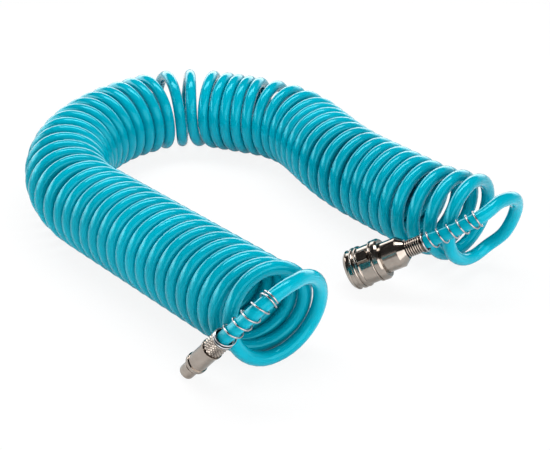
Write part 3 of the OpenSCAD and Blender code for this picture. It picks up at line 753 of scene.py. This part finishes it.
def knurlTree():
    # rings of low four-sided points, one after another along the axis, each turned half a step further
    tree, given = startTree("diamond knurl", {
        "Core": "Geometry", "Around": "Int", "Rows": "Int", "Radius": "Float", "First row": "Float",
        "Row step": "Float", "Point size": "Float", "Point height": "Float", "Stretch": "Float",
        "Material": "Material",
    }, "Nut")
    number = addNode(tree, "GeometryNodeInputIndex").outputs["Index"]
    step = addNode(tree, "ShaderNodeMath", {0: 2 * math.pi, 1: given["Around"]}, operation="DIVIDE")
    turned = addNode(tree, "ShaderNodeMath", {0: number, 1: step.outputs[0]}, operation="MULTIPLY")
    halfTurned = addNode(tree, "ShaderNodeMath", {0: turned.outputs[0], 1: 0.5}, operation="MULTIPLY")
    ring = addNode(tree, "GeometryNodeMeshCircle", {"Vertices": given["Around"], "Radius": given["Radius"]})
    point = addNode(tree, "GeometryNodeMeshCone", {
        "Vertices": 4, "Radius Top": 0, "Radius Bottom": given["Point size"], "Depth": given["Point height"]})
    facing = addNode(tree, "ShaderNodeCombineXYZ", {"Y": math.pi / 2, "Z": turned.outputs[0]})
    stretched = addNode(tree, "ShaderNodeCombineXYZ", {"X": given["Stretch"], "Y": 1, "Z": 1})
    ringOfPoints = addNode(tree, "GeometryNodeInstanceOnPoints", {
        "Points": ring.outputs["Mesh"], "Instance": point.outputs["Mesh"],
        "Rotation": facing.outputs["Vector"], "Scale": stretched.outputs["Vector"]})
    first = addNode(tree, "ShaderNodeCombineXYZ", {"Z": given["First row"]})
    onwards = addNode(tree, "ShaderNodeCombineXYZ", {"Z": given["Row step"]})
    rows = addNode(tree, "GeometryNodeMeshLine", {
        "Count": given["Rows"], "Start Location": first.outputs["Vector"],
        "Offset": onwards.outputs["Vector"]})
    rowTurned = addNode(tree, "ShaderNodeCombineXYZ", {"Z": halfTurned.outputs[0]})
    grip = addNode(tree, "GeometryNodeInstanceOnPoints", {
        "Points": rows.outputs["Mesh"], "Instance": ringOfPoints.outputs["Instances"],
        "Rotation": rowTurned.outputs["Vector"]})
    whole = addNode(tree, "GeometryNodeJoinGeometry")
    for part in (given["Core"], grip.outputs["Instances"]):
        tree.links.new(part, whole.inputs["Geometry"])
    return endTree(tree, whole.outputs["Geometry"], given["Material"])


def plugGrip():
    # the knurl's plain core and the rim behind it
    p = plugNutShape
    return [
        (p["core"] - p["chamfer"], nut["front"]), (p["core"], nut["front"] + p["chamfer"]),
        (p["core"], p["coreEnd"]), (p["rim"], p["coreEnd"]), (p["rim"], nut["length"] - p["chamfer"]),
        (p["rim"] - p["chamfer"], nut["length"]),
    ]


plugNutCore = turnedPiece("knurled_nut", nutOutline(plugGrip()), knurledNickel, plugNutShape["edge"])
plugNut = applyTree(plugNutCore, knurlTree(), {**knurl, "Material": knurledNickel})
settle(plugNut, plugFrame @ Matrix.Translation((0, 0, plugNeck)), "plug_nut", facets=True)
print("knurled nut:", len(plugNut.data.polygons), "faces")
print("turned pieces made")

# the pieces inside the coupler keep their shape and get a finish
insides = [
    (couplerNickel, ("socket_body", "valve_poppet")),
    (brightWire, ("retaining_ring", "sleeve_spring", "valve_spring", "ball_1", "ball_2", "ball_3", "ball_4")),
    (blackRubber, ("lip_seal", "adapter_gasket", "valve_seal")),
]
for material, names in insides:
    for name in names:
        nodes[name].data.materials.clear()
        nodes[name].data.materials.append(material)

# the two inner springs, which the real coupler presses together as their piece slides back: joint, front
# seat, rear seat, travel; here each only gets a mesh of its own
innerSprings = {
    "sleeve_spring": ("sleeve_slide", 9, 19.3, 4.6),
    "valve_spring": ("valve_slide", 19.65, 27, 3.8),
}
for name, (joint, front, rear, travel) in innerSprings.items():
    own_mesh(nodes[name])

def viewRays(tree):
    # the kinds of ray, and a 1 for those by which the camera sees a thing itself or through a clear piece
    rays = addNode(tree, "ShaderNodeLightPath").outputs
    seen = addNode(tree, "ShaderNodeMath", {
        0: rays["Is Camera Ray"], 1: rays["Is Transmission Ray"]}, operation="MAXIMUM")
    return rays, seen.outputs[0]


# half its width in metres, and how much of its white it gives by itself where it is seen, and where mirrored
paper = {"halfWidth": 30, "colour": "#f4f4f4", "seen": 0.88, "mirrored": 0.25}


def makeFloor():
    # white paper: it keeps the shadows, and more of them show in metal
    mesh = bpy.data.meshes.new("floor")
    half = paper["halfWidth"]
    corners = [(-half, -half, 0), (half, -half, 0), (half, half, 0), (-half, half, 0)]
    mesh.from_pydata(corners, [], [(0, 1, 2, 3)])
    floor = addPiece("floor", mesh)
    material = bpy.data.materials.new("white paper")
    material.use_nodes = True
    tree = material.node_tree
    tree.nodes.clear()
    rays, seen = viewRays(tree)
    mirrored = addNode(tree, "ShaderNodeMath", {
        0: rays["Is Glossy Ray"], 1: paper["mirrored"]}, operation="MULTIPLY")
    share = addNode(tree, "ShaderNodeMath", {
        0: seen, 1: paper["seen"], 2: mirrored.outputs[0]}, operation="MULTIPLY_ADD")
    sheet = addNode(tree, "ShaderNodeBsdfDiffuse", {"Color": linear(paper["colour"])})
    glow = addNode(tree, "ShaderNodeEmission", {"Strength": 1})
    mixed = addNode(tree, "ShaderNodeMixShader", {
        0: share.outputs[0], 1: sheet.outputs[0], 2: glow.outputs[0]})
    addNode(tree, "ShaderNodeOutputMaterial", {"Surface": mixed.outputs[0]})
    mesh.materials.append(material)


room = {
    "seen": 1,  # strength of the plain white that the camera sees
    "light": 0.25,  # strength of the plain white that lights the object
    "wallTop": (0.32, 0.46),  # sines of the angles of rise between which the bright wall fades out
    "facing": (-0.6, 0.8, 0),  # the wall is brightest this way
    "turn": (-0.2, 0.4),  # cosines to that way between which it brightens
    "wall": (0.35, 4),  # the wall's strengths before and after that
    "dark": 0.03,  # strength of what lies above the wall
}


def makeWorld():
    # the room as metal and gloss show it: a bright wall behind and to the left, and dark from there up
    world = bpy.data.worlds.new("studio")
    bpy.context.scene.world = world
    world.use_nodes = True
    tree = world.node_tree
    tree.nodes.clear()
    rays, seen = viewRays(tree)
    white = (1, 1, 1, 1)
    backdrop = addNode(tree, "ShaderNodeBackground", {"Color": white, "Strength": room["seen"]})
    plain = addNode(tree, "ShaderNodeBackground", {"Color": white, "Strength": room["light"]})
    direction = addNode(tree, "ShaderNodeTexCoord").outputs["Generated"]
    height = addNode(tree, "ShaderNodeSeparateXYZ", {"Vector": direction}).outputs["Z"]
    wall = addNode(tree, "ShaderNodeMapRange", {
        "Value": height, "From Min": room["wallTop"][0], "From Max": room["wallTop"][1],
        "To Min": 1, "To Max": 0})
    side = addNode(tree, "ShaderNodeVectorMath", {0: direction, 1: room["facing"]}, operation="DOT_PRODUCT")
    near = addNode(tree, "ShaderNodeMapRange", {
        "Value": side.outputs["Value"], "From Min": room["turn"][0], "From Max": room["turn"][1],
        "To Min": room["wall"][0], "To Max": room["wall"][1]})
    power = addNode(tree, "ShaderNodeMath", {
        0: wall.outputs["Result"], 1: near.outputs["Result"], 2: room["dark"]}, operation="MULTIPLY_ADD")
    mirrored = addNode(tree, "ShaderNodeBackground", {"Color": white, "Strength": power.outputs[0]})
    unseen = addNode(tree, "ShaderNodeMixShader", {
        0: rays["Is Glossy Ray"], 1: plain.outputs[0], 2: mirrored.outputs[0]})
    mixed = addNode(tree, "ShaderNodeMixShader", {0: seen, 1: unseen.outputs[0], 2: backdrop.outputs[0]})
    addNode(tree, "ShaderNodeOutputWorld", {"Surface": mixed.outputs[0]})


# softboxes and a fill, in metres and watts
lamps = {
    "overhead softbox": {"place": (-0.05, 0.28, 1.05), "size": (1.1, 0.35), "power": 10.5},
    "left softbox": {"place": (-1.2, -0.1, 0.5), "size": (0.8, 0.35), "power": 3},
    "front fill": {"place": (0.75, -1.05, 0.3), "size": (2.4, 1.5), "power": 31},
}
lampTarget = Vector((0, 0, 0.02))


def makeLamp(name, spec):
    data = bpy.data.lights.new(name, "AREA")
    data.shape = "RECTANGLE"
    data.size, data.size_y = spec["size"]
    data.energy = spec["power"]
    lamp = addPiece(name, data)
    lamp.location = spec["place"]
    lamp.rotation_euler = (lampTarget - Vector(spec["place"])).to_track_quat("-Z", "Y").to_euler()


makeFloor()
makeWorld()
for name, spec in lamps.items():
    makeLamp(name, spec)

view = bpy.context.scene.view_settings
view.view_transform = "Standard"
print("scene made")
